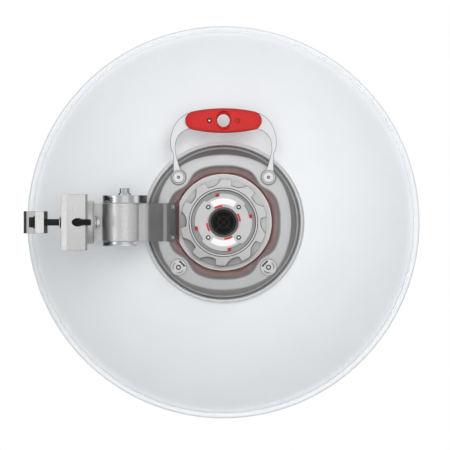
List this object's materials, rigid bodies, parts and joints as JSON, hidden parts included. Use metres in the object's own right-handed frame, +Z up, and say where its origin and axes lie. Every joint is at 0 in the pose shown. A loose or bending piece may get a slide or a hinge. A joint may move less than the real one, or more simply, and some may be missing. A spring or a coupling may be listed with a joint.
{
  "type": "parabolic dish antenna",
  "caption": "Round parabolic microwave dish with a cast back pan, a locking waveguide port, a carrying handle and an adjustable elbow bracket that clamps on a mast.",
  "frame": {"origin": "centre of the flat floor of the clamp block's notch, where the mast bears", "axes": "+Y is the boresight, the way the dish looks; +Z runs up along the mast; +X from the mast towards the dish"},
  "size_m": [0.5856, 0.2451, 0.58],
  "materials": {
    "white_paint": "smooth matt white powder coat",
    "cast_aluminium": "bare fine-grained casting",
    "pan_aluminium": "satin, lightly brushed",
    "zinc_steel": "bright zinc plate",
    "steel": "stainless, satin",
    "black_steel": "black coated steel",
    "port_grey": "satin moulded plastic",
    "white_plastic": "satin moulded plastic",
    "red_plastic": "fine checked grip texture",
    "red_rubber": "soft silicone",
    "black_plastic": "moulded cap"
  },
  "bodies": {
    "clamp": {"clamp_block": "cast_aluminium", "elevation_bolt": "zinc_steel", "elevation_washer": "zinc_steel"},
    "jaw": {"outer_jaw": "cast_aluminium", "jaw_bolt_near": "black_steel", "jaw_bolt_far": "black_steel", "jaw_washer_near": "black_steel", "jaw_washer_far": "black_steel"},
    "elbow": {"elbow": "cast_aluminium", "azimuth_top_cap": "zinc_steel", "azimuth_bottom_cap": "zinc_steel", "azimuth_bolt": "zinc_steel"},
    "dish": {"arm": "cast_aluminium", "arm_screw_upper": "steel", "arm_screw_lower": "steel", "reflector": "white_paint", "back_pan": "pan_aluminium", "trim_ring": "pan_aluminium", "front_ring": "cast_aluminium", "gasket": "red_rubber", "port_base": "port_grey", "port_plate": "port_grey", "port_plug": "black_plastic", "port_screw_1": "steel", "port_screw_2": "steel", "port_screw_3": "steel", "port_screw_4": "steel", "feed_tube": "cast_aluminium", "feed_cone": "white_plastic", "sub_reflector": "cast_aluminium", "handle_bail": "white_plastic", "grip_outer": "red_plastic", "grip_inner": "red_plastic", "grip_screw": "steel", "handle_bolt_left": "steel", "handle_bolt_right": "steel", "knob_left": "steel", "knob_right": "steel", "front_nut_upper_left": "zinc_steel", "front_nut_upper_right": "zinc_steel", "front_nut_lower_left": "zinc_steel", "front_nut_lower_right": "zinc_steel"},
    "collar": {"lock_collar": "port_grey"}
  },
  "joints": [
    {"name": "jaw_slide", "type": "slide", "parent": "clamp", "child": "jaw", "axis": [-1, 0, 0], "range_m": [0, 0.035]},
    {"name": "elevation", "type": "hinge", "parent": "clamp", "child": "elbow", "pos_m": [0.0243, 0, 0], "axis": [1, 0, 0], "range_deg": [-20, 20]},
    {"name": "azimuth", "type": "hinge", "parent": "elbow", "child": "dish", "pos_m": [0.079, 0.01, 0], "axis": [0, 0, 1], "range_deg": [-10, 10]},
    {"name": "collar_turn", "type": "hinge", "parent": "dish", "child": "collar", "pos_m": [0.2254, 0.0325, 0], "axis": [0, 1, 0], "range_deg": [0, 30]}
  ]
}
